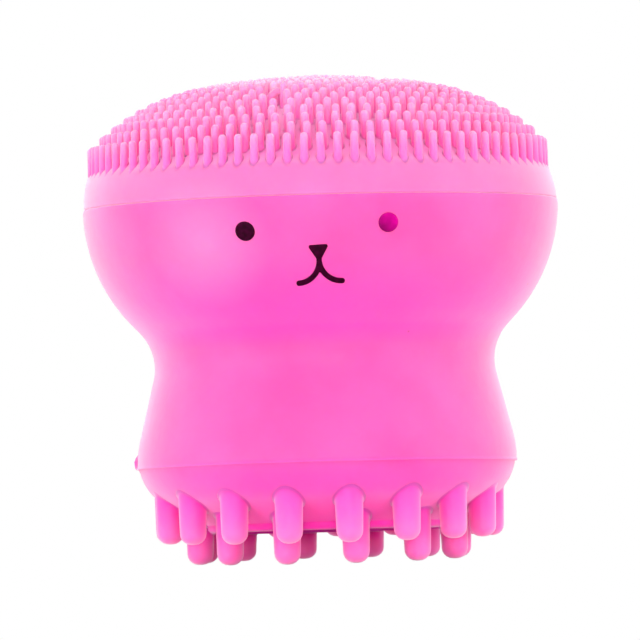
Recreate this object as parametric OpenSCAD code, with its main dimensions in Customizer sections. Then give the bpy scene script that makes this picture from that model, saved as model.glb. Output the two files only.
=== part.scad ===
// Facial cleansing brush: a squeezable silicone cup with massage nubs below,
// a push-in cap covered with bristles, and a foaming sponge inside.
// It stands on the tips of the inner nubs at z = 0, with its face towards -Y.

/* [Squeeze cup] */
// Outer diameter of the cup's rim
rim_d = 56; // [50:0.5:62]
// Height of the rim, which carries the cap
rim_z = 42.5; // [38:0.5:48]
// Outer diameter of the waist
waist_d = 40; // [34:0.5:44]
// Height of the waist
waist_z = 23.7; // [21:0.5:27]
// Outer diameter just above the lower mould line
base_d = 44.7; // [42:0.5:48]
// Height of the lower mould line
line_z = 11.8; // [10:0.2:14]
// Radius of the bowl's rounding under the rim
bowl_round = 19.9; // [12:0.5:20]
// Radius of the rounding in the waist
waist_round = 6.1; // [3:0.5:7]
// Radius of the rounding above the mould line
flare_round = 14.5; // [6:0.5:16]
// Step back under the mould line
line_step = 0.2; // [0:0.05:0.5]
// Thickness of the silicone wall
wall = 2; // [1.4:0.1:2.6]

/* [Underside] */
// Radius of the rounding under the mould line
base_round = 5.8; // [4:0.2:7]
// Steepness at the start of that rounding, in degrees
base_lean = 8; // [0:1:14]
// Where the rounding ends, in degrees from upright
base_turn = 58; // [50:1:66]
// Diameter of the raised pad under the cup
pad_d = 30; // [26:0.5:33]
// Height of the pad above the table
pad_z = 4; // [3:0.2:5]
// Radius of the pad's lower edge
pad_round = 0.7; // [0.3:0.1:0.9]

/* [Massage nubs] */
// Diameter of a nub at its root
nub_d = 3.3; // [2.6:0.1:3.6]
// Diameter of a nub just above its round tip
nub_tip_d = 3.1; // [2.4:0.1:3.4]
// Radius of the rounding at a nub's tip
nub_round = 1.1; // [0.8:0.1:1.2]
// Number of nubs in the outer ring
outer_nubs = 17; // [12:1:20]
// Radius of the outer ring of nubs
outer_ring_r = 19.1; // [18.9:0.1:19.6]
// Turn of the outer ring against the face, in degrees
outer_turn = 7.2; // [0:0.1:21]
// How much higher the outer nubs end
outer_rise = 2.4; // [1:0.1:4]
// Number of nubs in the inner ring
inner_nubs = 12; // [8:1:14]
// Radius of the inner ring of nubs
inner_ring_r = 15.5; // [14.5:0.1:15.6]
// Turn of the inner ring against the face, in degrees
inner_turn = 11.5; // [0:0.1:30]

/* [Brush cap] */
// How far the cap's edge stands inside the rim, all round
cap_inset = 0.1; // [0:0.05:0.4]
// Diameter of the cap at its shoulder edge
shoulder_d = 54.4; // [52:0.1:54.8]
// Height of the shoulder edge above the rim
shoulder_h = 3.8; // [3:0.1:5]
// Height of the crown above the rim
crown_h = 12.3; // [11:0.1:13]
// Radius of the flat curve over the crown
crown_round = 80; // [70:1:100]
// Diameter of the flatter middle of the crown
crown_d = 28; // [20:1:32]
// Thickness of the cap
cap_wall = 2; // [1.4:0.1:2.6]
// Thickness of the cup's wall round the mouth
mouth_wall = 2.4; // [2:0.1:3]
// Depth of the plug that pushes into the mouth
plug_h = 6; // [4:0.5:8]
// Thickness of the plug's ring
plug_wall = 2.2; // [1.6:0.1:2.6]
// Gap between the plug and the mouth
plug_gap = 0.15; // [0.1:0.05:0.3]
// Gap under the plug
seat_gap = 0.3; // [0.2:0.1:1]

/* [Foam outlets] */
// Number of foam outlets
outlets = 4; // [2:1:6]
// Diameter of one outlet
outlet_d = 1.8; // [1:0.1:2.4]
// Radius of the circle that the outlets lie on
outlet_ring_r = 8.9; // [6:0.1:12]
// Turn of the outlets against the face, in degrees
outlet_turn = 65; // [0:1:90]
// Clear space between an outlet and the bristles round it
outlet_clear = 0.3; // [0.2:0.1:0.8]

/* [Bristles] */
// Diameter of a bristle at its root
bristle_d = 1; // [0.7:0.05:1.1]
// Diameter of a bristle's round tip
bristle_tip_d = 0.84; // [0.6:0.02:1]
// Length of a bristle above the cap
bristle_h = 3; // [2:0.1:4]
// Depth to which a bristle is rooted in the cap
bristle_root = 0.8; // [0.6:0.1:1.2]
// Distance from one ring of bristles to the next
ring_step = 1.42; // [1.3:0.02:1.8]
// Number of bristles in each of the three rim rings
rim_count = 86; // [60:1:90]
// Number of bristles in the ring inside those
shoulder_count = 76; // [50:1:80]
// Distance between neighbours in the remaining rings
bristle_pitch = 2.1; // [1.7:0.05:2.6]

/* [Foaming sponge] */
// Clear space between the sponge and the plug's ring
sponge_clear = 0.45; // [0.3:0.05:1]
// Thickness of the sponge
sponge_h = 14; // [10:0.5:16]
// How far the sponge's top lies below the rim
sponge_drop = 1; // [0.5:0.5:4]
// Gap between the sponge and the bowl
sponge_gap = 0.3; // [0.2:0.05:0.5]
// Rounding of the sponge's upper edge
sponge_round = 2; // [1:0.5:3]

/* [Printed face] */
// Thickness of the printed film
print_t = 0.1; // [0.05:0.05:0.2]
// Diameter of an eye
eye_d = 2.25; // [1.6:0.05:3]
// Distance from the middle of one eye to the other
eye_spacing = 16.5; // [12:0.5:20]
// Depth of the eyes below the rim
eye_drop = 3.7; // [3:0.1:6]
// Width of the nose
nose_w = 2.3; // [1.6:0.1:3]
// Height of the nose
nose_h = 1.55; // [1.2:0.05:2.4]
// Depth of the nose's upper edge below the rim
nose_drop = 5.8; // [5:0.1:8]
// Width of the mouth's stroke
stroke = 0.62; // [0.4:0.02:0.8]
// Radius of each half of the mouth
mouth_r = 2.5; // [1.6:0.1:3]
// Length of the stem between nose and mouth
stem = 0.2; // [0:0.1:1]
// Tilt of the print, in degrees
face_tilt = -2; // [-4:0.5:4]
// Turn of the print round the cup, in degrees
face_turn = -1; // [-5:0.5:5]

/* [Hidden] */
$fn = 64;
crown_sides = 720;  // sides of the crown's wide circle in a preview
bristle_sides = 24; // sides of a bristle's tip in a preview
overlap = 1;        // extra depth of a cutter past the face that it cuts
nub_root = 12;      // a nub's height before the cup trims it, clear of the underside
print_reach = 60;   // depth of the block that lays the print on the cup
rim_rings = 3;      // rings of bristles with rim_count each
shoulder_rings = 6; // rings that follow them, down to the crown
rim_start = 0.25;   // where a rim ring starts, as a share of its spacing
start_step = 0.4;   // how far each further ring starts past the one outside it
side_rise = 0.2;    // how far the side's curve runs on past the shoulder, to cross the dome

rim_r = rim_d / 2;
waist_r = waist_d / 2;
base_r = base_d / 2;
opening_r = rim_r - mouth_wall;
cap_r = rim_r - cap_inset;
plug_r = opening_r - plug_gap;
plug_r_in = plug_r - plug_wall;
ledge_z = rim_z - plug_h - seat_gap;
sponge_r = plug_r_in - sponge_clear;

// Angle from upright of the line that touches two opposed rounds, whose radii
// add up to both and whose tangents are out apart across and up apart in height
function lean(both, out, up) =
    asin(min(1, both / norm([both - out, up]))) - atan2(both - out, up);
// The largest sum of two such radii that still meet
function most(out, up) = (out * out + up * up) / (2 * out);

bowl_c = [rim_r - bowl_round, rim_z];
upper_round = min(waist_round, most(rim_r - waist_r, rim_z - waist_z) - bowl_round);
bowl_lean = lean(bowl_round + upper_round, rim_r - waist_r, rim_z - waist_z);
upper_c = [waist_r + upper_round, waist_z];

lower_round = min(waist_round, most(base_r - waist_r, waist_z - line_z) - flare_round);
flare_lean = lean(flare_round + lower_round, base_r - waist_r, waist_z - line_z);
lower_c = [waist_r + lower_round, waist_z];
flare_c = [base_r - flare_round, line_z];

foot_r = base_r - line_step;
foot_c = [foot_r - base_round * cos(base_lean), line_z + base_round * sin(base_lean)];
turn_p = foot_c + base_round * [cos(base_turn), -sin(base_turn)];
pad_top_z = turn_p[1] - (turn_p[0] - pad_d / 2) / tan(base_turn);
floor_z = foot_c[1] - (base_round - wall);

crown_c = [0, rim_z + crown_h - crown_round];
join = [crown_d / 2, crown_c[1] + sqrt(pow(crown_round, 2) - pow(crown_d / 2, 2))];
join_lean = asin(join[0] / crown_round);
edge = [shoulder_d / 2, rim_z + shoulder_h];
drop_lean = atan2(join[1] - edge[1], edge[0] - join[0]);
edge_round = norm(edge - join) / (2 * sin(drop_lean - join_lean));
edge_c = join - edge_round * [sin(join_lean), cos(join_lean)];
side_step = cap_r - edge[0];
side_round = (pow(side_step, 2) + pow(shoulder_h, 2)) / (2 * side_step);

rim_ring_r = shoulder_d / 2 - bristle_d / 2;
rings = floor(rim_ring_r / ring_step);

// Height of the cap's upper surface at radius r
function dome_z(r) = r < join[0]
    ? crown_c[1] + sqrt(pow(crown_round, 2) - r * r)
    : edge_c[1] + sqrt(max(0, pow(edge_round, 2) - pow(r - edge_c[0], 2)));

function ring_r(i) = rim_ring_r - i * ring_step;
function ring_count(i) = i < rim_rings ? rim_count
    : i == rim_rings ? shoulder_count
    : max(1, round(2 * PI * ring_r(i) / bristle_pitch));
// Where a ring starts, as a share of its own spacing
function ring_start(i) = i < rim_rings ? rim_start : start_step * i % 1;
// A point at radius r, turned from the front by a degrees
function around(r, a) = [r * sin(a), -r * cos(a)];
function outlet_at(i) = around(outlet_ring_r, outlet_turn + i * 360 / outlets);
function clears_outlets(p) =
    min([for (i = [0:outlets - 1]) norm(p - outlet_at(i))])
    > outlet_d / 2 + bristle_d / 2 + outlet_clear;

// Upright band from the axis out to radius r, from height low to high
module band(r, low, high) {
    polygon([[0, low], [r, low], [r, high], [0, high]]);
}

// Section left of a rounding that bulges out, from height low to high
module bulge(centre, r, low, high) {
    intersection() {
        union() {
            translate(centre) circle(r);
            band(centre[0], low, high);
        }
        band(centre[0] + r + overlap, low, high);
    }
}

// Section left of a rounding that curves in, from height low to high
module hollow(centre, r, low, high) {
    difference() {
        band(centre[0], low, high);
        translate(centre) circle(r);
    }
}

// Section left of the straight line from p up to q
module slope(p, q) {
    polygon([[0, p[1]], p, q, [0, q[1]]]);
}

// Section of the cup above the mould line, its surface moved in by t
module cup_section(t = 0) {
    bowl_p = bowl_c + (bowl_round - t) * [cos(bowl_lean), -sin(bowl_lean)];
    upper_p = upper_c + (upper_round + t) * [-cos(bowl_lean), sin(bowl_lean)];
    lower_p = lower_c - (lower_round + t) * [cos(flare_lean), sin(flare_lean)];
    flare_p = flare_c + (flare_round - t) * [cos(flare_lean), sin(flare_lean)];
    bulge(bowl_c, bowl_round - t, bowl_p[1], rim_z);
    slope(upper_p, bowl_p);
    hollow(upper_c, upper_round + t, waist_z, upper_p[1]);
    hollow(lower_c, lower_round + t, lower_p[1], waist_z);
    slope(flare_p, lower_p);
    bulge(flare_c, flare_round - t, line_z, flare_p[1]);
}

// Section of the underside: the rounding, the slope to the pad, and the pad
module foot_section() {
    bulge(foot_c, base_round, turn_p[1], line_z);
    slope([pad_d / 2, pad_top_z], turn_p);
    bulge([pad_d / 2 - pad_round, pad_z + pad_round], pad_round, pad_z, pad_z + pad_round);
    band(pad_d / 2, pad_z + pad_round, pad_top_z);
}

// Section of the hollow inside the cup
module chamber_section() {
    bulge(foot_c, base_round - wall, floor_z, line_z);
    intersection() {
        cup_section(wall);
        band(rim_r, line_z, ledge_z);
    }
    band(opening_r, ledge_z, rim_z);
}

module cup_outside() {
    rotate_extrude() {
        cup_section();
        foot_section();
    }
}

module squeeze_cup() color("hotpink") {
    rotate_extrude() difference() {
        union() {
            cup_section();
            foot_section();
        }
        chamber_section();
    }
}

// A nub with a round tip at height tip_z
module nub(tip_z) {
    translate([0, 0, tip_z]) rotate_extrude() {
        bulge([nub_tip_d / 2 - nub_round, nub_round], nub_round, 0, nub_round);
        slope([nub_tip_d / 2, nub_round], [nub_d / 2, nub_root - tip_z]);
    }
}

// A ring of nubs, trimmed where they meet the cup
module nub_ring(count, r, turn, tip_z) {
    difference() {
        for (i = [0:count - 1]) translate(around(r, turn + i * 360 / count)) nub(tip_z);
        cup_outside();
    }
}

module massage_nubs_outer() color("hotpink")
    nub_ring(outer_nubs, outer_ring_r, outer_turn, outer_rise);

module massage_nubs_inner() color("hotpink")
    nub_ring(inner_nubs, inner_ring_r, inner_turn, 0);

// Lays a flat drawing on the front of the cup as a thin film
module printed(drop) {
    intersection() {
        rotate_extrude() difference() {
            cup_section(-print_t);
            cup_section();
        }
        rotate([0, 0, face_turn]) translate([0, 0, rim_z - eye_drop]) rotate([0, face_tilt, 0])
            translate([0, 0, eye_drop - drop]) rotate([90, 0, 0])
                linear_extrude(print_reach) children();
    }
}

module eye(side) {
    printed(eye_drop) translate([side * eye_spacing / 2, 0]) circle(d = eye_d);
}

module left_eye() color("#30041c") eye(-1);

module right_eye() color("#30041c") eye(1);

module nose() color("#30041c") {
    corner = [nose_w / 2, 0];
    neck = [stroke / 2, -nose_h];
    printed(nose_drop) polygon([[-corner[0], corner[1]], corner, neck, [-neck[0], neck[1]]]);
}

// Two quarter circles that part below a short stem
module mouth() color("#30041c") {
    printed(nose_drop + nose_h) {
        translate([-stroke / 2, -stem]) square([stroke, stem]);
        for (side = [-1, 1]) intersection() {
            translate([side * mouth_r, -stem]) difference() {
                circle(mouth_r + stroke / 2);
                circle(mouth_r - stroke / 2);
            }
            translate([side * mouth_r / 2, -stem - mouth_r]) square([mouth_r + stroke, 2 * mouth_r], true);
        }
    }
}

// Section under the cap's dome, its surface moved in by t
module dome_section(t = 0) {
    intersection() {
        translate(crown_c) circle(crown_round - t, $fn = crown_sides);
        band(join[0], rim_z, rim_z + crown_h);
    }
    intersection() {
        translate(edge_c) circle(edge_round - t);
        translate([join[0], rim_z]) square([cap_r - join[0], crown_h]);
    }
}

// Section of the cap above the rim: the dome, with a side that swells down to the rim
module cap_section() {
    side_top = edge[1] + side_rise;
    intersection() {
        dome_section();
        union() {
            bulge([cap_r - side_round, rim_z], side_round, rim_z, side_top);
            band(cap_r, side_top, rim_z + crown_h);
        }
    }
}

module brush_cap() color("hotpink") {
    difference() {
        rotate_extrude() {
            difference() {
                cap_section();
                intersection() {
                    dome_section(cap_wall);
                    square([plug_r_in, rim_z + crown_h]);
                }
            }
            translate([plug_r_in, rim_z - plug_h]) square([plug_wall, plug_h]);
        }
        for (i = [0:outlets - 1]) translate(concat(outlet_at(i), rim_z))
            cylinder(d = outlet_d, h = crown_h + overlap);
    }
}

module bristle(r) {
    low = dome_z(r) - bristle_root;
    high = dome_z(r) + bristle_h - bristle_tip_d / 2;
    translate([0, 0, low]) cylinder(d1 = bristle_d, d2 = bristle_tip_d, h = high - low);
    translate([0, 0, high]) sphere(d = bristle_tip_d, $fn = bristle_sides);
}

module bristle_rings(first, last) {
    for (i = [first:last], k = [0:ring_count(i) - 1]) {
        p = around(ring_r(i), (k + ring_start(i)) * 360 / ring_count(i));
        if (clears_outlets(p)) translate(p) bristle(ring_r(i));
    }
}

module bristles_rim() color("pink") bristle_rings(0, rim_rings - 1);

module bristles_shoulder() color("pink")
    bristle_rings(rim_rings, rim_rings + shoulder_rings - 1);

module bristles_crown() color("pink") bristle_rings(rim_rings + shoulder_rings, rings);

module foaming_sponge() color("ivory") {
    top_z = rim_z - sponge_drop;
    round_c = [sponge_r - sponge_round, top_z - sponge_round];
    rotate_extrude() intersection() {
        cup_section(wall + sponge_gap);
        bulge(round_c, sponge_round, top_z - sponge_h, top_z);
    }
}

squeeze_cup();
massage_nubs_outer();
massage_nubs_inner();
left_eye();
right_eye();
nose();
mouth();
brush_cap();
bristles_rim();
bristles_shoulder();
bristles_crown();
foaming_sponge();
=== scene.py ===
import math
import random

import bpy
import numpy as np
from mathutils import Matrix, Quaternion, Vector

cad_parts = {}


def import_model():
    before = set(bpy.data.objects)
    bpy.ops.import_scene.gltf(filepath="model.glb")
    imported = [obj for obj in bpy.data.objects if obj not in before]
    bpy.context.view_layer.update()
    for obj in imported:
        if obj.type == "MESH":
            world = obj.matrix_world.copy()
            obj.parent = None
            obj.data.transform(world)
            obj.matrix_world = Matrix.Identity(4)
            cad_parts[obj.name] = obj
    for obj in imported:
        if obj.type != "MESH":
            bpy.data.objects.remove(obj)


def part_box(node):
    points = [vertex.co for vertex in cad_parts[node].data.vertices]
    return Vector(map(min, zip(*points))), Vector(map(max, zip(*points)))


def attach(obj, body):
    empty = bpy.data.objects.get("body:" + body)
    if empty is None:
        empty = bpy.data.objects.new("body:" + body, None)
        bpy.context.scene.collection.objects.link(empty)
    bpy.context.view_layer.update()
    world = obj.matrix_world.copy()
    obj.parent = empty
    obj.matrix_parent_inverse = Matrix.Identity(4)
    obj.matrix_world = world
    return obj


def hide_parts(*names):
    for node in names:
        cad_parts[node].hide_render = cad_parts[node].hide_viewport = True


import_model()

# The looks of a silicone face brush, built round its CAD frame.
# Sections and sizes below are in millimetres; make_mesh turns them into metres.
MM = 0.001
SEGMENTS = 288  # round the cup, the cap and the sponge
SECTION_STEP = 0.45  # spacing of the points along a section
SHARP_EDGE, SHARP_PRINT_EDGE = 35, 60  # edges that turn more than these degrees stay sharp

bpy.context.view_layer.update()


def cad(node):
    """Lowest and highest corner of a CAD node, in millimetres."""
    low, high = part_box(node)
    return low / MM, high / MM


# ---------------------------------------------------------------- sizes

RIM_R = cad("squeeze_cup")[1].x
RIM_Z = cad("squeeze_cup")[1].z
PAD_Z = cad("squeeze_cup")[0].z
CAP_R = cad("brush_cap")[1].x
CROWN_Z = cad("brush_cap")[1].z
PLUG_Z = cad("brush_cap")[0].z
OUTER_TIP_Z = cad("massage_nubs_outer")[0].z
INNER_TIP_Z = cad("massage_nubs_inner")[0].z
SPONGE_TOP = cad("foaming_sponge")[1].z
SPONGE_LOW = cad("foaming_sponge")[0].z
SPONGE_R = cad("foaming_sponge")[1].x

WALL = 2.0
WAIST_R, WAIST_Z = 20.0, 23.7
BASE_R, LINE_Z = 22.35, 11.8  # the base at its widest, which is at the mould line
BOWL_ROUND, WAIST_ROUND, FLARE_ROUND = 19.9, 6.1, 14.5  # radii of the three rounds of the cup's side
LINE_STEP = 0.2  # how far the underside is set in at the mould line
# round of the underside, and the angles below level at which it starts and ends
BASE_ROUND, BASE_LEAN, BASE_TURN = 5.8, 8.0, 58.0
PAD_R, PAD_ROUND, PAD_SOFT = 15.0, 0.7, 0.15
MOUTH_R = RIM_R - 2.4
LEDGE_Z = RIM_Z - 6.3

SHOULDER = (27.2, RIM_Z + 3.8)  # where the cap's side meets its dome
CROWN_ROUND, CROWN_R = 80.0, 14.0  # radius of the flatter round on top, and how far out it goes
PLUG_R, PLUG_R_IN = 25.45, 23.25
OUTLET_R, OUTLET_RING_R, OUTLET_TURN, OUTLETS, OUTLET_SIDES = 0.9, 8.9, 65.0, 4, 32

NUB_R, NUB_TIP_R, NUB_ROUND, NUB_FLARE = 1.65, 1.55, 1.35, 0.28
NUB_SIDES = 36
NUB_FOLLOW = 3.0  # over this length a nub's cross-sections turn from the surface's slope to level
PRESSED = 0.03  # how much shorter a nub is for each millimetre further back
# number of nubs, radius of their ring, turn of the first one and height of the tips
NUB_RINGS = {
    "massage_nubs_outer": (17, 19.1, 7.2, OUTER_TIP_Z),
    "massage_nubs_inner": (12, 15.5, 11.5, INNER_TIP_Z),
}

BRISTLE_R, BRISTLE_TIP_R, BRISTLE_H, BRISTLE_FLARE = 0.5, 0.46, 3.0, 0.14
BRISTLE_SIDES, BRISTLE_FOLLOW = 14, 1.2
BRISTLE_LENGTHS, BRISTLE_BENDS = (0.97, 1.0), 3  # shares of their length, and how much they bend by chance
RING_STEP, RIM_RING_R, RING_COUNT = 1.42, 26.7, 19
RIM_COUNT, SHOULDER_COUNT, BRISTLE_PITCH = 86, 76, 2.1
RIM_RINGS, SHOULDER_RINGS = 3, 6
# place of each rim ring's first bristle, as a share of the spacing, and how it moves on in the other rings
RIM_STARTS, RING_SHIFT = (0.2, 0.37, 0.23), 0.4
OUTLET_CLEAR = 0.3  # free space between an outlet and the bristles
# how far left the cap sits, the height over which that fades in, and its slope down to the right
SEAT_SHIFT, SEAT_FADE, SEAT_LEAN = 0.17, 3, 0.004

# painted light, as a paler colour from 0 to 1: at the nubs' tips, at the cap's side and on its dome
NUB_PAINTED_LIGHT, CAP_PAINTED_LIGHT, DOME_PAINTED_LIGHT = 0.9, 0.15, 0.55
DOME_FADE = 1.2  # height over which the cap's side turns to the dome's painted light
# the same painted light for each set of bristles, at the foot and at the tip
BRISTLE_PAINTED_LIGHT = {"bristles_rim": (0.2, 0.4), "bristles_shoulder": (0.5, 0.42), "bristles_crown": (0.6, 0.7)}


# ---------------------------------------------------------------- sections

def arc(centre, radius, start, end):
    """Points on an arc, from angle start to angle end, in degrees."""
    count = max(3, round(abs(math.radians(end - start)) * radius / SECTION_STEP))
    angles = np.radians(np.linspace(start, end, count + 1))
    return [(centre[0] + radius * math.cos(a), centre[1] + radius * math.sin(a)) for a in angles]


def rounded(before, corner, after, size, steps=4):
    """Points that round off a corner, starting size away from it."""
    before, corner, after = (np.array(p, float) for p in (before, corner, after))
    first = corner + (before - corner) / np.linalg.norm(before - corner) * size
    last = corner + (after - corner) / np.linalg.norm(after - corner) * size
    shares = np.linspace(0, 1, steps + 1)
    return [tuple((1 - t) ** 2 * first + 2 * t * (1 - t) * corner + t * t * last) for t in shares]


def filled(points):
    """The section with its long straight stretches divided."""
    out = [points[0]]
    for p in points[1:]:
        q = out[-1]
        count = max(1, round(math.dist(p, q) / SECTION_STEP))
        for k in range(1, count + 1):
            out.append((q[0] + (p[0] - q[0]) * k / count, q[1] + (p[1] - q[1]) * k / count))
    return out


def lean(both, out, up):
    """Angle from upright of the line that touches two opposed rounds."""
    return math.degrees(math.asin(both / math.hypot(both - out, up)) - math.atan2(both - out, up))


BOWL_C = (RIM_R - BOWL_ROUND, RIM_Z)
UPPER_C = (WAIST_R + WAIST_ROUND, WAIST_Z)
FLARE_C = (BASE_R - FLARE_ROUND, LINE_Z)
BOWL_LEAN = lean(BOWL_ROUND + WAIST_ROUND, RIM_R - WAIST_R, RIM_Z - WAIST_Z)
FLARE_LEAN = lean(FLARE_ROUND + WAIST_ROUND, BASE_R - WAIST_R, WAIST_Z - LINE_Z)
FOOT_R = BASE_R - LINE_STEP
FOOT_C = (
    FOOT_R - BASE_ROUND * math.cos(math.radians(BASE_LEAN)),
    LINE_Z + BASE_ROUND * math.sin(math.radians(BASE_LEAN)),
)
# where the round of the underside ends and the pad's side begins
TURN = (
    FOOT_C[0] + BASE_ROUND * math.cos(math.radians(BASE_TURN)),
    FOOT_C[1] - BASE_ROUND * math.sin(math.radians(BASE_TURN)),
)
PAD_TOP = TURN[1] - (TURN[0] - PAD_R) / math.tan(math.radians(BASE_TURN))


def side(inset=0.0):
    """Section of the cup's side from the mould line up to the rim, moved in by inset."""
    return [
        *arc(FLARE_C, FLARE_ROUND - inset, 0, FLARE_LEAN),
        *arc(UPPER_C, WAIST_ROUND + inset, 180 + FLARE_LEAN, 180 - BOWL_LEAN),
        *arc(BOWL_C, BOWL_ROUND - inset, -BOWL_LEAN, 0),
    ]


def underside():
    """Section of the cup's underside from the axis out to the mould line."""
    pad_c = (PAD_R - PAD_ROUND, PAD_Z + PAD_ROUND)
    return [
        (0, PAD_Z),
        *arc(pad_c, PAD_ROUND, -90, 0),
        *rounded((PAD_R, PAD_Z + PAD_ROUND), (PAD_R + 0.02, PAD_TOP), TURN, PAD_SOFT),
        *arc(FOOT_C, BASE_ROUND, -BASE_TURN, -BASE_LEAN),
    ]


# the thin lip at the mould line: how far its points stand out from the base and above the line
LIP_FOOT = (0.02, -0.03)
MOULD_LIP = [(0.02, -0.06), (0.09, 0.02), (0.07, 0.14), (0.0, 0.3)]
RIM_SOFT, MOUTH_SOFT, LEDGE_SOFT = 0.22, 0.3, 0.2  # roundings at the rim, the mouth and its ledge


def mould_line():
    """Section of the lip at the mould line."""
    foot = (FOOT_R + LIP_FOOT[0], LINE_Z + LIP_FOOT[1])
    return [foot, *[(BASE_R + out, LINE_Z + up) for out, up in MOULD_LIP]]


def cup_inside():
    """Section of the cup's inside, from the ledge in its mouth down to the axis on the floor."""
    ledge_r = BOWL_C[0] + math.sqrt((BOWL_ROUND - WALL) ** 2 - (RIM_Z - LEDGE_Z) ** 2)
    bowl = [p for p in side(WALL) if LINE_Z < p[1] < LEDGE_Z]
    floor_round = BASE_ROUND - WALL
    foot = [p for p in arc(FOOT_C, floor_round, -90, 0) if p[1] < LINE_Z]
    return [
        *rounded((MOUTH_R, RIM_Z), (MOUTH_R, LEDGE_Z), (ledge_r, LEDGE_Z), LEDGE_SOFT),
        (ledge_r, LEDGE_Z),
        *reversed(bowl),
        *reversed(foot),
        (0, FOOT_C[1] - floor_round),
    ]


def cup_section():
    """Whole section of the cup, from the axis under the pad round to the axis on the floor."""
    over_line = MOULD_LIP[-1][1] + 0.1
    return filled([
        *underside(),
        *mould_line(),
        *[p for p in side() if LINE_Z + over_line < p[1] < RIM_Z - RIM_SOFT],
        *rounded((RIM_R, RIM_Z - 2), (RIM_R, RIM_Z), (MOUTH_R, RIM_Z), RIM_SOFT),
        *rounded((RIM_R, RIM_Z), (MOUTH_R, RIM_Z), (MOUTH_R, LEDGE_Z), MOUTH_SOFT),
        *cup_inside(),
    ])


CROWN_C = (0, CROWN_Z - CROWN_ROUND)
# where the flatter round of the crown meets the steeper round of the dome's edge
JOIN = (CROWN_R, CROWN_C[1] + math.sqrt(CROWN_ROUND ** 2 - CROWN_R ** 2))
JOIN_LEAN = math.degrees(math.asin(CROWN_R / CROWN_ROUND))
DROP_LEAN = math.degrees(math.atan2(JOIN[1] - SHOULDER[1], SHOULDER[0] - JOIN[0]))
EDGE_ROUND = math.dist(SHOULDER, JOIN) / (2 * math.sin(math.radians(DROP_LEAN - JOIN_LEAN)))
EDGE_C = (
    JOIN[0] - EDGE_ROUND * math.sin(math.radians(JOIN_LEAN)),
    JOIN[1] - EDGE_ROUND * math.cos(math.radians(JOIN_LEAN)),
)


def dome(inset=0.0, reach=SHOULDER[0]):
    """Section of the cap's dome from the axis out to radius reach, moved in by inset."""
    end = math.degrees(math.acos((reach - EDGE_C[0]) / (EDGE_ROUND - inset)))
    return [
        *arc(CROWN_C, CROWN_ROUND - inset, 90, 90 - JOIN_LEAN),
        *arc(EDGE_C, EDGE_ROUND - inset, 90 - JOIN_LEAN, end)[1:],
    ]


# roundings at the dome's edge, the cap's edge and the plug's two edges
DOME_SOFT, CAP_SOFT, PLUG_SOFT = 0.5, 0.12, 0.5
SEAM = 0.02  # gap at the seam between cup and cap


def cap_top():
    """Section of the cap's outside from the axis down to the rim."""
    step, rise = CAP_R - SHOULDER[0], SHOULDER[1] - RIM_Z
    side_round = (step ** 2 + rise ** 2) / (2 * step)
    side_lean = math.degrees(math.asin(rise / side_round))
    down = arc((CAP_R - side_round, RIM_Z), side_round, side_lean, 0)
    over = [p for p in dome() if p[0] < SHOULDER[0] - DOME_SOFT]
    return [
        *over,
        *rounded(over[-1], SHOULDER, down[1], DOME_SOFT, 6),
        *[p for p in down[1:] if RIM_Z + 2 * CAP_SOFT < p[1] < SHOULDER[1] - DOME_SOFT],
        *rounded((CAP_R, RIM_Z + 1), (CAP_R, RIM_Z + SEAM), (PLUG_R, RIM_Z + SEAM), CAP_SOFT),
    ]


def cap_section():
    """Whole section of the cap, from the axis on the crown round to the axis under it."""
    return filled([
        *cap_top(),
        (PLUG_R, RIM_Z + SEAM),
        *rounded((PLUG_R, RIM_Z), (PLUG_R, PLUG_Z), (PLUG_R_IN, PLUG_Z), PLUG_SOFT),
        *rounded((PLUG_R, PLUG_Z), (PLUG_R_IN, PLUG_Z), (PLUG_R_IN, RIM_Z), PLUG_SOFT),
        *reversed(dome(WALL, PLUG_R_IN)),
    ])


def height_of(section):
    """A function that gives the height of a section at a radius."""
    radii, heights = (np.array(v) for v in zip(*section))
    order = np.argsort(radii, kind="stable")
    return lambda r: np.interp(r, radii[order], heights[order])


dome_z = height_of(filled(cap_top()))
under_z = height_of(filled(underside()))


# ---------------------------------------------------------------- meshes

def make_mesh(name, points, faces, sharp=None):
    """A smooth-shaded object from points in millimetres."""
    mesh = bpy.data.meshes.new(name)
    mesh.from_pydata((np.array(points, float) * MM).tolist(), [], faces)
    mesh.validate()
    mesh.shade_smooth()
    if sharp:
        mesh.set_sharp_from_angle(angle=math.radians(sharp))
    obj = bpy.data.objects.new(name, mesh)
    bpy.context.scene.collection.objects.link(obj)
    return obj


def add_values(obj, name, values):
    """Keeps one number for each point of a mesh, for its material to read."""
    attribute = obj.data.attributes.new(name, "FLOAT", "POINT")
    attribute.data.foreach_set("value", np.array(values, np.float32))


def lathe(name, section, change=None):
    """Turns a section that starts and ends on the axis into a closed mesh."""
    rings = np.array(section[1:-1], float)
    angles = np.linspace(0, 2 * math.pi, SEGMENTS, endpoint=False)
    x = rings[:, :1] * np.sin(angles)
    y = -rings[:, :1] * np.cos(angles)
    z = np.repeat(rings[:, 1:], SEGMENTS, 1)
    points = np.stack([x, y, z], -1).reshape(-1, 3)
    if change:
        points = change(points)
    ends = [(0, 0, section[0][1]), (0, 0, section[-1][1])]
    points = np.vstack([points, ends])
    first, last = len(points) - 2, len(points) - 1
    faces = []
    for k in range(SEGMENTS):
        n = (k + 1) % SEGMENTS
        faces.append((first, n, k))
        low = (len(rings) - 1) * SEGMENTS
        faces.append((last, low + k, low + n))
    for i in range(len(rings) - 1):
        a, b = i * SEGMENTS, (i + 1) * SEGMENTS
        for k in range(SEGMENTS):
            n = (k + 1) % SEGMENTS
            faces.append((a + k, a + n, b + n, b + k))
    return make_mesh(name, points, faces, SHARP_EDGE)


ROOT_DEPTH = 0.25  # how deep a nub or bristle is rooted in the surface
STRAIGHT = 1e-6  # smallest bend, so that a straight one needs no case of its own
FLARE_STEPS, SIDE_STEPS, TIP_STEPS = 4, 6, 5


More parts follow.
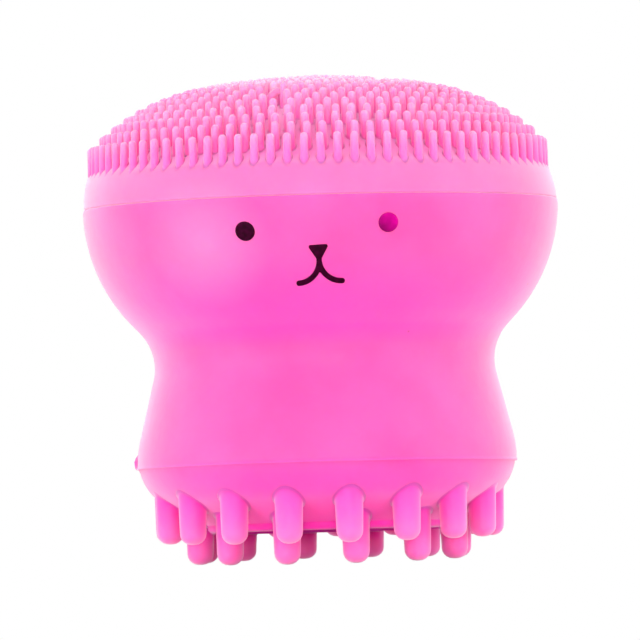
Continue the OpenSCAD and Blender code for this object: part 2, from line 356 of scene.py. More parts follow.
def stalk_rows(radius, tip_radius, tip_round, height, flare, follow_length):
    """Rows of a nub or bristle as (radius, height, how far it follows the surface)."""
    rows = [(radius + flare, -ROOT_DEPTH, 1.0)]
    for a in np.radians(np.linspace(0, 90, FLARE_STEPS + 1)):
        rows.append((radius + flare * (1 - math.sin(a)), flare * (1 - math.cos(a)), 1.0))
    top = height - tip_round
    for share in np.linspace(0, 1, SIDE_STEPS + 1)[1:]:
        h = flare + (top - flare) * share
        follow = 1 - min(1, (h - flare) / follow_length)
        rows.append((radius + (tip_radius - radius) * share, h, follow * follow * (3 - 2 * follow)))
    for a in np.radians(np.linspace(0, 90, TIP_STEPS + 1)[1:]):
        rows.append((tip_radius - tip_round * (1 - math.cos(a)), top + tip_round * math.sin(a), 0.0))
    return rows


def stalk_points(place, rows, sides, surface, up):
    """Points of one nub or bristle at (x, y, length share, bend, way it bends), the last two in degrees."""
    x, y, length, bend, way = place
    turn = np.linspace(0, 2 * math.pi, sides, endpoint=False)
    foot = surface(math.hypot(x, y))
    way = math.radians(way)
    along = np.array([math.cos(way), math.sin(way)])
    across = np.array([-math.sin(way), math.cos(way)])
    total = math.radians(bend) + STRAIGHT
    tall = rows[-1][1] * length
    points = []
    for radius, h, follow in rows:
        tilt = total * max(h, 0) * length / tall
        out = tall / total * (1 - math.cos(tilt))
        height = tall / total * math.sin(tilt) + min(h, 0)
        ahead = radius * np.cos(turn)
        flat = np.outer(out + ahead * math.cos(tilt), along) + np.outer(radius * np.sin(turn), across)
        stalk_x, stalk_y = x + flat[:, 0], y + flat[:, 1]
        base = foot + (surface(np.hypot(stalk_x, stalk_y)) - foot) * follow
        stalk_z = base + up * (height - ahead * math.sin(tilt))
        points += np.stack([stalk_x, stalk_y, stalk_z], 1).tolist()
    return points


def stalk_faces(start, count, sides):
    """Faces of one nub or bristle of count rows, whose points begin at start."""
    faces = []
    for i in range(count - 1):
        a, b = start + i * sides, start + (i + 1) * sides
        faces += [(a + k, a + (k + 1) % sides, b + (k + 1) % sides, b + k) for k in range(sides)]
    end = start + (count - 1) * sides
    faces.append(tuple(start + k for k in reversed(range(sides))))
    faces.append(tuple(end + k for k in range(sides)))
    return faces


def stalks(name, places, rows, sides, surface, up, change=None, painted_light=(0, 0), root=0):
    """Closed nubs or bristles on a surface, with painted light that changes from foot to tip, and root kept
    at their feet.
    """
    points, faces = [], []
    for place in places:
        faces += stalk_faces(len(points), len(rows), sides)
        points += stalk_points(place, rows, sides, surface, up)
    if up < 0:
        faces = [f[::-1] for f in faces]
    points = np.array(points)
    obj = make_mesh(name, change(points) if change else points, faces)
    shares = np.tile(np.repeat([max(h, 0) / rows[-1][1] for _, h, _ in rows], sides), len(places))
    # painted light, changing from the foot to the tip
    add_values(obj, "painted_light", painted_light[0] + (painted_light[1] - painted_light[0]) * shares)
    add_values(obj, "root", root * (1 - shares))
    return obj


# ---------------------------------------------------------------- materials

# painted shade, a deeper colour: heights over which it fades out under the cup, over which it fades in and
# out in the crease of the waist, and its strength in either place
UNDER_Z, UNDER = (6.0, 12.5), 0.85
CREASE_LOW, CREASE_HIGH, CREASE = (25.3, 27.5), (29.5, 36.0), 0.6
# painted highlight, a pale soft spot on the left cheek: its middle, the distances over which it fades out,
# its strength
HIGHLIGHT_SPOT, HIGHLIGHT_SPOT_R, HIGHLIGHT_SPOT_SHARE = (-13.8, -23.7, 37.3), (1.0, 8.5), 0.3
SPECK_CELL, SPECK_R = 5, 0.042  # one speck at most in 5 mm, and its radius as a share of that
NOISE_LOW, NOISE_HIGH = 0.3, 0.7  # range that most of a noise lies in


class Graph:
    """The nodes of a material or world, and short ways to add to them."""

    def __init__(self, owner, shader="Principled BSDF"):
        owner.use_nodes = True
        self.owner = owner
        self.tree = owner.node_tree
        self.shader = self.tree.nodes[shader]
        coordinates = self.add("TexCoord").outputs
        self.place, self.direction = coordinates["Object"], coordinates["Generated"]

    def add(self, kind, **inputs):
        node = self.tree.nodes.new("ShaderNode" + kind)
        for key, value in inputs.items():
            self.set(node, key, value)
        return node

    def set(self, node, key, value):
        socket = node.inputs[key] if isinstance(key, int) else node.inputs[key.replace("_", " ")]
        if isinstance(value, bpy.types.NodeSocket):
            self.tree.links.new(value, socket)
        else:
            socket.default_value = value

    def noise(self, size, detail=2.0, roughness=0.5):
        """Noise with features about size millimetres across."""
        scale = 1 / (size * MM)
        node = self.add("TexNoise", Vector=self.place, Scale=scale, Detail=detail, Roughness=roughness)
        return node.outputs["Fac"]

    def patches(self, size, low=0.0, high=1.0, detail=3.0):
        """Soft patches about size millimetres across, from low to high."""
        return self.span(self.noise(size, detail), NOISE_LOW, NOISE_HIGH, low, high)

    def cells(self, size):
        """Cells about size millimetres across: distance to the middle, and a random colour each."""
        node = self.add("TexVoronoi", Vector=self.place, Scale=1 / (size * MM))
        return node.outputs["Distance"], node.outputs["Color"]

    def span(self, value, low, high, to_low=0.0, to_high=1.0):
        """Stretches value from the range low to high onto the range to_low to to_high."""
        node = self.add("MapRange", Value=value)
        for key, number in zip((1, 2, 3, 4), (low, high, to_low, to_high)):
            node.inputs[key].default_value = number
        return node.outputs["Result"]

    def math(self, operation, a, b):
        node = self.add("Math")
        node.operation = operation
        self.set(node, 0, a)
        self.set(node, 1, b)
        return node.outputs["Value"]

    def mix(self, share, a, b):
        """Mixes two colours."""
        node = self.add("Mix")
        node.data_type = "RGBA"
        for key, value in zip((0, 6, 7), (share, a, b)):
            self.set(node, key, value)
        return node.outputs[2]

    def value(self, name):
        """A number kept with the points of the mesh."""
        node = self.add("Attribute")
        node.attribute_name = name
        return node.outputs["Fac"]

    def bump(self, height, depth, before=None):
        """Bump from a height of 0 to 1 that stands for depth millimetres."""
        node = self.add("Bump", Height=height, Distance=depth * MM)
        if before is not None:
            self.set(node, "Normal", before)
        return node.outputs["Normal"]


def colour(red, green, blue):
    """Linear colour from 0 to 255 screen values."""
    def linear(c):
        c /= 255
        return c / 12.92 if c <= 0.04045 else ((c + 0.055) / 1.055) ** 2.4
    return (linear(red), linear(green), linear(blue), 1.0)


PINK, PALER_PINK = colour(255, 64, 161), colour(255, 80, 172)
# a deeper pink painted as shade, and a pale pink painted as a highlight
SHADE_PINK, HIGHLIGHT_SPOT_PINK = colour(255, 28, 184), colour(255, 172, 218)
# colours of painted light: at the bristles' tips and the cap's side, at the bristles' feet and on the dome
# between them, and at the nubs' tips
BRISTLE_LIT_PINK, FOOT_LIT_PINK, NUB_LIT_PINK = colour(255, 204, 218), colour(255, 160, 230), colour(255, 128, 192)
DUST = colour(140, 0, 70)
INK_DARK, INK_WORN, INK_THIN = colour(36, 0, 20), colour(58, 0, 36), colour(196, 0, 132)
FOAM_CREAM, FOAM_PALER, FOAM_PORE_SHADE = colour(236, 226, 200), colour(242, 234, 212), colour(214, 200, 168)
FLOOR_GREY, FLOOR_PALER = colour(236, 236, 237), colour(241, 241, 241)


def new_graph(name):
    return Graph(bpy.data.materials.new(name))


def painted_shade_share(g):
    """How much painted shade deepens the colour, under the cup and in the crease of its waist."""
    height = g.add("SeparateXYZ", Vector=g.place).outputs["Z"]
    under = g.span(height, UNDER_Z[0] * MM, UNDER_Z[1] * MM, UNDER, 0.0)
    starts = g.span(height, CREASE_LOW[0] * MM, CREASE_LOW[1] * MM)
    ends = g.span(height, CREASE_HIGH[0] * MM, CREASE_HIGH[1] * MM, CREASE, 0.0)
    return g.math("MAXIMUM", under, g.math("MULTIPLY", starts, ends))


def painted_highlight_share(g):
    """How much paler the colour is at the painted highlight on the left cheek."""
    away = g.add("VectorMath")
    away.operation = "DISTANCE"
    g.set(away, 0, g.place)
    g.set(away, 1, [v * MM for v in HIGHLIGHT_SPOT])
    return g.span(away.outputs["Value"], HIGHLIGHT_SPOT_R[0] * MM, HIGHLIGHT_SPOT_R[1] * MM, HIGHLIGHT_SPOT_SHARE, 0.0)


def speck_share(g):
    """Specks of dust, each of its own size and strength."""
    distance, random_colour = g.cells(SPECK_CELL)
    parts = g.add("SeparateColor", Color=random_colour)
    size = g.span(parts.outputs["Red"], 0.45, 1.0, 0.0, SPECK_R)
    strength = g.span(parts.outputs["Green"], 0, 1, 0.35, 0.9)
    return g.math("MULTIPLY", g.math("LESS_THAN", distance, size), strength)


def silicone(name, tip=BRISTLE_LIT_PINK, sheen=0.65, gloss=0.35, rough=0.48, depth=1.2):
    """Pink silicone with painted shade, a painted highlight and, where the mesh says so, painted light: the
    paler tip colour or, at a root, the foot colour.
    """
    g = new_graph(name)
    body = g.mix(g.patches(9), PINK, PALER_PINK)
    # painted shade: a deeper pink under the cup and in the crease of its waist
    body = g.mix(painted_shade_share(g), body, SHADE_PINK)
    # painted highlight: the colour turns paler in a soft spot on the left cheek
    body = g.mix(painted_highlight_share(g), body, HIGHLIGHT_SPOT_PINK)
    # painted light: lit tips of nubs and bristles, and the shaded gaps between bristles lifted, in paler
    # colours
    body = g.mix(g.value("painted_light"), body, g.mix(g.value("root"), tip, FOOT_LIT_PINK))
    body = g.mix(speck_share(g), body, DUST)
    g.set(g.shader, "Base Color", body)
    g.set(g.shader, "Roughness", g.patches(1.2, rough, rough + 0.08))
    grain = g.bump(g.noise(0.16, 2), 0.006)
    g.set(g.shader, "Normal", g.bump(g.noise(2.4, 2), 0.03, grain))
    g.set(g.shader, "Specular IOR Level", gloss)
    g.set(g.shader, "Subsurface Weight", 1.0)
    g.set(g.shader, "Subsurface Radius", (1.0, 0.4, 0.7))
    g.set(g.shader, "Subsurface Scale", depth * MM)
    g.set(g.shader, "Sheen Weight", sheen)
    g.set(g.shader, "Sheen Roughness", 0.5)
    return g.owner


def ink():
    """Dark ink that lets the pink through where the attribute thin says so."""
    g = new_graph("printed_ink")
    dark = g.mix(g.span(g.noise(0.5, 3), 0.35, 0.7), INK_DARK, INK_WORN)
    thin = g.math("MULTIPLY", g.value("thin"), g.patches(0.7, 0.75, 1.0, detail=2))
    g.set(g.shader, "Base Color", g.mix(thin, dark, INK_THIN))
    g.set(g.shader, "Roughness", g.patches(0.3, 0.35, 0.5, detail=2))
    g.set(g.shader, "Specular IOR Level", 0.03)
    g.set(g.shader, "Normal", g.bump(g.noise(0.14, 2), 0.012))
    return g.owner


def foam():
    """Cream foam with open pores of two sizes, the large ones painted darker as shade."""
    g = new_graph("open_cell_foam")
    large, _ = g.cells(0.75)
    small, _ = g.cells(0.3)
    pores = g.span(large, 0.25, 0.6)
    # painted shade: the large pores take a darker cream
    g.set(g.shader, "Base Color", g.mix(pores, g.mix(g.patches(6), FOAM_CREAM, FOAM_PALER), FOAM_PORE_SHADE))
    g.set(g.shader, "Roughness", 0.9)
    normal = g.bump(g.math("SUBTRACT", 1.0, g.span(small, 0.2, 0.6)), 0.06)
    g.set(g.shader, "Normal", g.bump(g.math("SUBTRACT", 1.0, pores), 0.22, normal))
    g.set(g.shader, "Sheen Weight", 0.2)
    return g.owner


def floor_paint():
    """Pale board that shows from above and is clear from below."""
    g = new_graph("pale_floor")
    g.set(g.shader, "Base Color", g.mix(g.noise(40, 2), FLOOR_GREY, FLOOR_PALER))
    g.set(g.shader, "Roughness", g.patches(3, 0.6, 0.75, detail=2))
    clear = g.add("BsdfTransparent").outputs["BSDF"]
    chosen = g.add("MixShader")
    g.set(chosen, 0, g.add("NewGeometry").outputs["Backfacing"])
    g.set(chosen, 1, g.shader.outputs["BSDF"])
    g.set(chosen, 2, clear)
    g.set(g.tree.nodes["Material Output"], "Surface", chosen.outputs["Shader"])
    return g.owner


SILICONE = silicone("pink_silicone")
NUB_SILICONE = silicone("pink_silicone_nub", tip=NUB_LIT_PINK, depth=1.5)
THIN_SILICONE = silicone("pink_silicone_bristle", sheen=0.4)
PAD_SILICONE = silicone("pink_silicone_pad", sheen=0.0, gloss=0.1, rough=0.85)
INK = ink()
FOAM = foam()


def dress(obj, material, body, node):
    """Finishes a piece: its material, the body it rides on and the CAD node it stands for."""
    obj.data.materials.clear()
    obj.data.materials.append(material)
    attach(obj, body)
    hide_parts(node)


# ---------------------------------------------------------------- the cup

SKIN = 0.6  # points less than this far inside the cup's side count as its outside
RIDGE_OUT, RIDGE_HALF = 0.05, 0.16  # the upright parting lines
TAB_OUT, TAB_HALF, TAB_UP = 0.4, 0.35, 0.75  # the tab of flash at the left end of the mould line
PAD_EDGE = 0.02  # faces lower than this above the pad's underside take the pad's duller silicone


def cup_marks(points):
    """Mould marks on the outside of the cup: the upright parting lines and a tab of flash."""
    x, y, z = points.T
    radius = np.hypot(x, y)
    side_r, side_z = zip(*sorted(side(), key=lambda p: p[1]))
    outside = (z > PAD_Z + 1) & (radius > np.interp(z, side_z, np.array(side_r) - SKIN))
    from_line = radius * np.abs(np.arctan2(y, np.abs(x)))
    on_side = (z > LINE_Z + 0.5) & (z < RIM_Z - 0.4)
    ridge = RIDGE_OUT * np.exp(-((from_line / RIDGE_HALF) ** 2)) * on_side
    from_tab = (y / TAB_HALF) ** 4 + ((z - LINE_Z - TAB_UP) / TAB_UP) ** 4
    tab = TAB_OUT * np.exp(-from_tab) * (x < 0)
    push = np.where(outside, ridge + tab, 0) / np.maximum(radius, 1)
    return np.stack([x * (1 + push), y * (1 + push), z], 1)


def make_cup():
    cup = lathe("silicone_cup", cup_section(), cup_marks)
    dress(cup, SILICONE, "cup", "squeeze_cup")
    cup.data.materials.append(PAD_SILICONE)
    for face in cup.data.polygons:
        face.material_index = int(face.center.z / MM < PAD_Z + PAD_EDGE)


def around(radius, degrees):
    """The place at a radius, so many degrees to the right of the front."""
    a = math.radians(degrees)
    return radius * math.sin(a), -radius * math.cos(a)


def make_nubs(name, node):
    """One ring of nubs, the ones further back pressed a little shorter."""
    count, radius, turn, tip_z = NUB_RINGS[node]
    tall = float(under_z(radius)) - tip_z
    rows = stalk_rows(NUB_R, NUB_TIP_R, NUB_ROUND, tall, NUB_FLARE, NUB_FOLLOW)
    places = []
    for k in range(count):
        x, y = around(radius, turn + k * 360 / count)
        places.append((x, y, 1 - PRESSED * (y + radius) / tall, 0, 0))
    # painted light: the nubs turn paler towards their tips
    obj = stalks(name, places, rows, NUB_SIDES, under_z, -1, painted_light=(0, NUB_PAINTED_LIGHT))
    dress(obj, NUB_SILICONE, "cup", node)


make_cup()
make_nubs("outer_nubs", "massage_nubs_outer")
make_nubs("inner_nubs", "massage_nubs_inner")


# ---------------------------------------------------------------- the cap

def outlet_places():
    return [around(OUTLET_RING_R, OUTLET_TURN + n * 360 / OUTLETS) for n in range(OUTLETS)]


def outlet_cutter():
    """Pins that cut the foam outlets."""
    points, faces = [], []
    sides = OUTLET_SIDES
    for x, y in outlet_places():
        start = len(points)
        for z in (RIM_Z, CROWN_Z + 2):
            for k in range(sides):
                a = 2 * math.pi * k / sides
                points.append((x + OUTLET_R * math.cos(a), y + OUTLET_R * math.sin(a), z))
        for k in range(sides):
            n = (k + 1) % sides
            faces.append((start + k, start + n, start + sides + n, start + sides + k))
        faces.append(tuple(start + k for k in reversed(range(sides))))
        faces.append(tuple(start + sides + k for k in range(sides)))
    return make_mesh("outlet_pins", points, faces)


def cut(obj, cutter):
    """Takes cutter out of obj for good."""
    step = obj.modifiers.new("cut", "BOOLEAN")
    step.operation, step.solver, step.object = "DIFFERENCE", "EXACT", cutter
    bpy.context.view_layer.update()
    done = bpy.data.meshes.new_from_object(obj.evaluated_get(bpy.context.evaluated_depsgraph_get()))
    obj.modifiers.clear()
    obj.data = done
    done.set_sharp_from_angle(angle=math.radians(SHARP_EDGE))
    bpy.data.objects.remove(cutter)


def seated(points):
    """The cap as it was pushed in by hand: a little to the left and out of level."""
    x, y, z = points.T
    shifted = np.clip((z - RIM_Z) / SEAT_FADE, 0, 1)
    leaning = np.clip((z - RIM_Z) / (CROWN_Z - RIM_Z), 0, 1)
    return np.stack([x - SEAT_SHIFT * shifted, y, z - SEAT_LEAN * x * leaning], 1)


def make_cap():
    cap = lathe("silicone_cap", cap_section()[::-1], seated)
    cut(cap, outlet_cutter())
    heights = np.array([v.co.z / MM for v in cap.data.vertices])
    # painted light on the cap, strongest on the dome between the bristles
    on_dome = np.clip((heights - SHOULDER[1]) / DOME_FADE, 0, 1)
    add_values(cap, "painted_light", CAP_PAINTED_LIGHT + (DOME_PAINTED_LIGHT - CAP_PAINTED_LIGHT) * on_dome)
    add_values(cap, "root", on_dome)
    dress(cap, SILICONE, "cap", "brush_cap")


# bristles bent over or torn off: ring, distance right of the middle, bend in degrees or None for torn off,
# and the way it bends
FAULTS = [
    (5, -5.1, None, 0), (6, -4.6, None, 0), (7, -4.4, None, 0), (8, -5.4, 80, 4), (8, -9.8, 40, 160),
    (10, 7.2, None, 0), (11, 7.3, None, 0), (11, 9.2, 34, 190), (12, 7.4, None, 0),
]


def ring(number):
    """Radius of a ring, how many bristles it has, and its first one's place as a share of the spacing."""
    radius = RIM_RING_R - number * RING_STEP
    if number < RIM_RINGS:
        return radius, RIM_COUNT, RIM_STARTS[number]
    start = RING_SHIFT * number % 1
    if number == RIM_RINGS:
        return radius, SHOULDER_COUNT, start
    return radius, max(1, round(2 * math.pi * radius / BRISTLE_PITCH)), start


def spoil(places, number, radius):
    """Bends or tears off the bristles that FAULTS names in one ring."""
    for faulty, at, bend, way in FAULTS:
        if faulty != number:
            continue
        spot = (at, -math.sqrt(radius ** 2 - at ** 2))
        nearest = min(range(len(places)), key=lambda n: math.dist(places[n][:2], spot))
        if bend is None:
            del places[nearest]
        else:
            places[nearest] = (*places[nearest][:3], bend, way)


def bristle_places(first, last, seed):
    """Places of the bristles in rings first to last, each a little out of true."""
    chance = random.Random(seed)
    out = []
    for number in range(first, last + 1):
        radius, count, start = ring(number)
        for k in range(count):
            x, y = around(radius, (k + start) * 360 / count)
            length = chance.uniform(*BRISTLE_LENGTHS)
            bend = abs(chance.gauss(0, BRISTLE_BENDS))
            way = chance.uniform(0, 360)
            to_outlet = min(math.dist((x, y), place) for place in outlet_places())
            if to_outlet > OUTLET_R + BRISTLE_R + OUTLET_CLEAR:
                out.append((x, y, length, bend, way))
        spoil(out, number, radius)
    return out


# for each node: name of the piece, its first ring and its last
BRISTLE_SETS = {
    "bristles_rim": ("rim_bristles", 0, RIM_RINGS - 1),
    "bristles_shoulder": ("shoulder_bristles", RIM_RINGS, RIM_RINGS + SHOULDER_RINGS - 1),
    "bristles_crown": ("crown_bristles", RIM_RINGS + SHOULDER_RINGS, RING_COUNT - 1),
}
BRISTLE_SEED = 11


def make_bristles(node):
    name, first, last = BRISTLE_SETS[node]
    rows = stalk_rows(BRISTLE_R, BRISTLE_TIP_R, BRISTLE_TIP_R, BRISTLE_H, BRISTLE_FLARE, BRISTLE_FOLLOW)
    places = bristle_places(first, last, BRISTLE_SEED + first)
    painted_light = BRISTLE_PAINTED_LIGHT[node]
    tuft = stalks(name, places, rows, BRISTLE_SIDES, dome_z, 1, change=seated, painted_light=painted_light, root=1)
    dress(tuft, THIN_SILICONE, "cap", node)


make_cap()
for bristle_node in BRISTLE_SETS:
    make_bristles(bristle_node)


# ---------------------------------------------------------------- the printed face

# the film: thickness in its middle and at its edge, width of its rounded edge, depth inside the cup
PRINT_T, FILM_EDGE, FILM_ROUND, FILM_SUNK = 0.09, 0.012, 0.2, 0.05
PRINT_GRID = 0.06
SLOPE_STEP, ON_OUTLINE = 1e-3, 1e-3  # step to measure a slope with, and what still counts as the outline
FACE_TILT, FACE_TURN = -2.0, -1.0
EYE_R, EYE_X, EYE_Z = 1.125, 8.25, RIM_Z - 3.7
NOSE_HALF, NOSE_H, NOSE_Z = 1.15, 1.55, RIM_Z - 5.8
STROKE, MOUTH_HALF, STEM = 0.31, 2.5, 0.2
MARGIN, MOUTH_MARGIN = 0.3, 1  # free space round a mark, inside the box that it is drawn in
SIDE_Z, SIDE_R = zip(*sorted((z, r) for r, z in filled(side())))


def eye_shape(middle, stretch, turn):
    """A dot drawn out by stretch along a line that rises by turn degrees."""
    cos, sin = math.cos(math.radians(turn)), math.sin(math.radians(turn))

    def inside(x, z):
        along = (x - middle) * cos + (z - EYE_Z) * sin
        across = (z - EYE_Z) * cos - (x - middle) * sin
        return np.hypot(along / stretch, across * stretch) - EYE_R
    return inside


def to_segment(x, z, start, end):
    """Distance to a straight line from start to end."""
    run, rise = end[0] - start[0], end[1] - start[1]
    share = np.clip(((x - start[0]) * run + (z - start[1]) * rise) / (run * run + rise * rise), 0, 1)
    return np.hypot(x - start[0] - share * run, z - start[1] - share * rise)


def right_of(x, z, start, end):
    """Whether a place is on the right of the line from start to end."""
    return (end[0] - start[0]) * (z - start[1]) - (end[1] - start[1]) * (x - start[0]) > 0


def nose_shape(x, z):
    """A triangle with rounded corners, point down."""
    soft, neck = 0.22, 0.06
    top, low = NOSE_Z - soft, NOSE_Z - NOSE_H
    half = NOSE_HALF - 1.2 * soft
    corners = [(-half, top), (half, top), (neck, low), (-neck, low)]
    edges = list(zip(corners, corners[1:] + corners[:1]))
    away = np.min([to_segment(x, z, *edge) for edge in edges], axis=0)
    outside = np.any([right_of(x, z, *edge) for edge in edges], axis=0)
    return np.where(outside, away, -away) - soft


def mouth_shape(x, z):
    """A short stem that parts into two quarter circles."""
    top = NOSE_Z - NOSE_H
    turn = top - STEM
    stem = to_segment(x, z, (0, top), (0, turn))
    side_x = np.abs(x)
    angle = np.clip(np.arctan2(turn - z, MOUTH_HALF - side_x), 0, math.pi / 2)
    lip_x, lip_z = MOUTH_HALF - MOUTH_HALF * np.cos(angle), turn - MOUTH_HALF * np.sin(angle)
    return np.minimum(stem, np.hypot(side_x - lip_x, z - lip_z)) - STROKE


def drawn_in(shape, x, z):
    """Moves the grid's points that lie just outside a shape onto its outline."""
    near = np.abs(shape(x, z)) < PRINT_GRID * 1.5
    for _ in range(3):
        value = shape(x, z)
        slope_x = (shape(x + SLOPE_STEP, z) - shape(x - SLOPE_STEP, z)) / (2 * SLOPE_STEP)
        slope_z = (shape(x, z + SLOPE_STEP) - shape(x, z - SLOPE_STEP)) / (2 * SLOPE_STEP)
        steep = np.maximum(slope_x * slope_x + slope_z * slope_z, 1e-6)
        pull = np.where(near & (value > 0), value / steep, 0)
        x, z = x - pull * slope_x, z - pull * slope_z
    return x, z


def covered(inside):
    """Cells of the grid whose four corners are all inside, and the corners that they use."""
    cells = inside[:-1, :-1] & inside[1:, :-1] & inside[:-1, 1:] & inside[1:, 1:]
    used = np.zeros(inside.shape, bool)
    for i in (0, 1):
        for j in (0, 1):
            used[i:i + cells.shape[0], j:j + cells.shape[1]] |= cells
    return cells, used


def on_cup(x, z, lift):
    """The flat drawing laid round the cup's side, tilted and turned with the face, lift outside it."""
    tilt, turn = math.radians(FACE_TILT), math.radians(FACE_TURN)
    across = x * math.cos(tilt) + (z - EYE_Z) * math.sin(tilt)
    height = EYE_Z + (z - EYE_Z) * math.cos(tilt) - x * math.sin(tilt)
    radius = np.interp(height, SIDE_Z, SIDE_R)
    scale = 1 + lift / radius
    points = np.stack([across * scale, -np.sqrt(radius ** 2 - across ** 2) * scale, height], 1)
    cos, sin = math.cos(turn), math.sin(turn)
    points[:, :2] = points[:, :2] @ np.array([[cos, sin], [-sin, cos]])
    return points


def film_faces(cells, used):
    """Faces of a closed film: its top, its underside and the wall round it."""
    number = np.cumsum(used).reshape(used.shape) - 1
    total = int(used.sum())
    faces, edges = [], {}
    for i, j in zip(*np.nonzero(cells)):
        corners = (i, j), (i + 1, j), (i + 1, j + 1), (i, j + 1)
        a, b, c, d = (int(number[corner]) for corner in corners)
        faces.append((a, b, c, d))
        faces.append((a + total, d + total, c + total, b + total))
        for edge in ((a, b), (b, c), (c, d), (d, a)):
            key = tuple(sorted(edge))
            edges[key] = None if key in edges else edge
    for a, b in filter(None, edges.values()):
        faces.append((b, a, a + total, b + total))
    return faces


def printed(name, shape, box, node, thin=0.0):
    """A thin domed film on the cup where shape(x, z) is below zero, in a box left, right, low, high."""
    left, right, low, high = box
    columns = np.arange(left, right + PRINT_GRID, PRINT_GRID)
    rows = np.arange(low, high + PRINT_GRID, PRINT_GRID)
    x, z = drawn_in(shape, *np.meshgrid(columns, rows, indexing="ij"))
    value = shape(x, z)
    cells, used = covered(value < ON_OUTLINE)
    x, z, depth = x[used], z[used], np.clip(-value[used] / FILM_ROUND, 0, 1)
    domed = FILM_EDGE + (PRINT_T - FILM_EDGE) * np.sqrt(depth * (2 - depth))
    points = np.vstack([on_cup(x, z, domed), on_cup(x, z, -FILM_SUNK)])
    obj = make_mesh(name, points, film_faces(cells, used), SHARP_PRINT_EDGE)
    uneven = 0.3 * ((x - x.mean()) + (z - z.mean())) * (thin > 0)
    add_values(obj, "thin", np.tile(np.clip(thin + uneven, 0, 1), 2))
    dress(obj, INK, "cup", node)


def make_eye(name, node, x, shape, thin=0.0):
    """An eye at about x to the right of the face's middle."""
    reach = EYE_R + MARGIN
    printed(name, shape, (x - reach, x + reach, EYE_Z - reach, EYE_Z + reach), node, thin)


def make_nose():
    box = (-NOSE_HALF - MARGIN, NOSE_HALF + MARGIN, NOSE_Z - NOSE_H - MARGIN, NOSE_Z + MARGIN)
    printed("nose_mark", nose_shape, box, "nose")


def make_mouth():
    half, top = MOUTH_HALF + MOUTH_MARGIN, NOSE_Z - NOSE_H
    box = (-half, half, top - STEM - half, top + MARGIN)
    printed("mouth_mark", mouth_shape, box, "mouth")


make_eye("eye_left", "left_eye", -EYE_X, eye_shape(-EYE_X - 0.08, stretch=1.05, turn=-42))
make_eye("eye_right", "right_eye", EYE_X, eye_shape(EYE_X, stretch=1.02, turn=40), thin=0.8)
make_nose()
make_mouth()


# ---------------------------------------------------------------- the sponge

FOAM_GAP, FOAM_CROWN = 0.35, 0.9  # gap between foam and bowl, and how far the top falls to its edge
FOAM_TOP_SOFT, FOAM_LOW_SOFT = 2.0, 1.2  # roundings of the upper and lower edges


def sponge_section():
    """The foam's section: a crowned top, sides that follow the bowl and a soft lower edge."""
    low, high, side_r = SPONGE_LOW + 0.9, SPONGE_TOP - 2.6, SPONGE_R - 0.1
    bowl = [(r, z) for r, z in side(WALL + FOAM_GAP) if low < z < high and r < SPONGE_R - 0.15]
    radii = np.linspace(0, SPONGE_R - FOAM_TOP_SOFT - 0.2, 40)
    top = [(r, SPONGE_TOP - FOAM_CROWN * (r / SPONGE_R) ** 2) for r in radii]
    top_corner, foot_corner = (side_r, SPONGE_TOP - 0.95), (bowl[0][0] - 0.4, SPONGE_LOW + 0.05)
    edge = rounded(top[-1], top_corner, (side_r, SPONGE_TOP - 4), FOAM_TOP_SOFT, 8)
    foot = rounded(bowl[0], foot_corner, (0, SPONGE_LOW + 0.25), FOAM_LOW_SOFT, 6)
    return filled([*top, *edge, *reversed(bowl), *foot, (0, SPONGE_LOW + 0.3)])


def make_sponge():
    sponge = lathe("sponge_foam_block", sponge_section()[::-1])
    dress(sponge, FOAM, "sponge", "foaming_sponge")


make_sponge()


# ---------------------------------------------------------------- stage, light and camera

WHITE = (1, 1, 1, 1)
SOFT_LIGHT = 0.8  # strength of the even light from the world
CEILING = 2.0  # how much brighter than white the world is overhead, in reflections alone
AIM, FLOOR_R = (0, 0, 0.03), 1.6  # what the lamps face, and the floor's radius, in metres


def floor():
    bpy.ops.mesh.primitive_circle_add(vertices=96, radius=FLOOR_R, fill_type="NGON", location=(0, 0, 0))
    board = bpy.context.object
    board.name = "floor"
    board.data.materials.append(floor_paint())


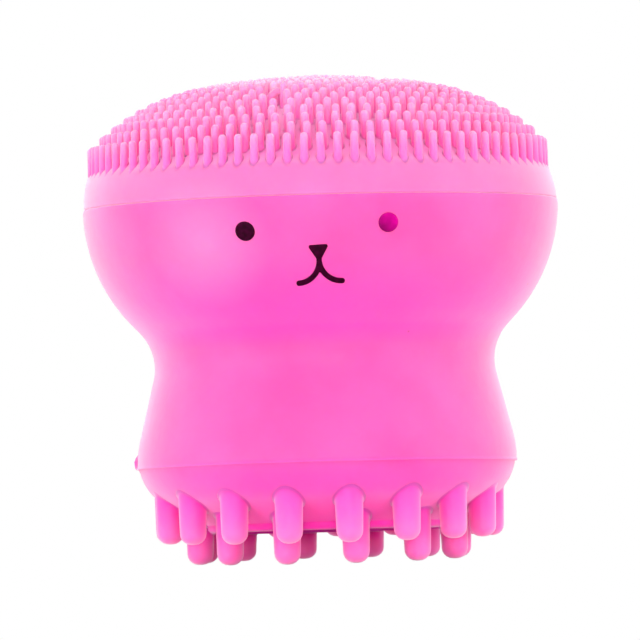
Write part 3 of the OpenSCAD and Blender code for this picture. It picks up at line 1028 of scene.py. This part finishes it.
def world():
    """White to the camera, white that brightens overhead to reflections, and else an even soft light."""
    g = Graph(bpy.data.worlds.new("studio"), "Background")
    bpy.context.scene.world = g.owner
    ray = g.add("LightPath").outputs
    reflected = g.math("MAXIMUM", ray["Is Glossy Ray"], ray["Is Transmission Ray"])
    height = g.add("SeparateXYZ", Vector=g.direction).outputs["Z"]
    ceiling = g.math("MULTIPLY", g.span(height, 0.0, 1.0, 0.0, CEILING), reflected)
    white = g.add("Background", Color=WHITE, Strength=g.math("ADD", ceiling, 1.0))
    g.set(g.shader, "Color", WHITE)
    g.set(g.shader, "Strength", SOFT_LIGHT)
    chosen = g.add("MixShader")
    g.set(chosen, 0, g.math("MAXIMUM", ray["Is Camera Ray"], reflected))
    g.set(chosen, 1, g.shader.outputs["Background"])
    g.set(chosen, 2, white.outputs["Background"])
    g.set(g.tree.nodes["World Output"], "Surface", chosen.outputs["Shader"])


def lamp(name, place, size, power):
    """A soft lamp of a width and height that faces the middle of the brush; metres and watts."""
    light = bpy.data.lights.new(name, "AREA")
    light.shape = "RECTANGLE"
    light.size, light.size_y, light.energy = *size, power
    obj = bpy.data.objects.new(name, light)
    obj.location = place
    aim = Vector(AIM) - obj.location
    obj.rotation_euler = aim.to_track_quat("-Z", "Y").to_euler()
    bpy.context.scene.collection.objects.link(obj)


def camera():
    """The photograph's near-level view from far away, rolled a little."""
    distance, height, aim_x, aim_z = 1165, -10, -0.41, 28.9
    frame_width, roll = 75.5, 1.55
    data = bpy.data.cameras.new("camera")
    data.sensor_width = 36
    data.lens = data.sensor_width * distance / frame_width
    data.clip_start, data.clip_end = 0.05, 20
    obj = bpy.data.objects.new("camera", data)
    obj.location = Vector((aim_x, -distance, height)) * MM
    aim = Vector((aim_x, 0, aim_z)) * MM - obj.location
    obj.rotation_mode = "QUATERNION"
    obj.rotation_quaternion = aim.to_track_quat("-Z", "Y") @ Quaternion((0, 0, 1), math.radians(-roll))
    bpy.context.scene.collection.objects.link(obj)
    bpy.context.scene.camera = obj


floor()
world()
lamp("left_softbox", (-0.9, -0.35, 0.13), (0.5, 0.25), 1.6)
lamp("right_softbox", (0.9, -0.35, 0.13), (0.5, 0.25), 2.2)
lamp("upper_right_softbox", (0.6, -0.3, 0.6), (0.6, 0.6), 0.5)
lamp("upper_front_softbox", (0, -0.8, 0.8), (0.7, 0.7), 1.9)
lamp("low_softbox", (0, -1.2, 0.03), (0.35, 0.05), 4.6)
lamp("low_left_softbox", (-0.8, -0.8, 0.06), (0.6, 0.11), 2.6)
lamp("back_softbox", (0, 1.1, 0.25), (1.2, 0.25), 1.4)
camera()

bpy.context.scene.view_settings.view_transform = "Standard"
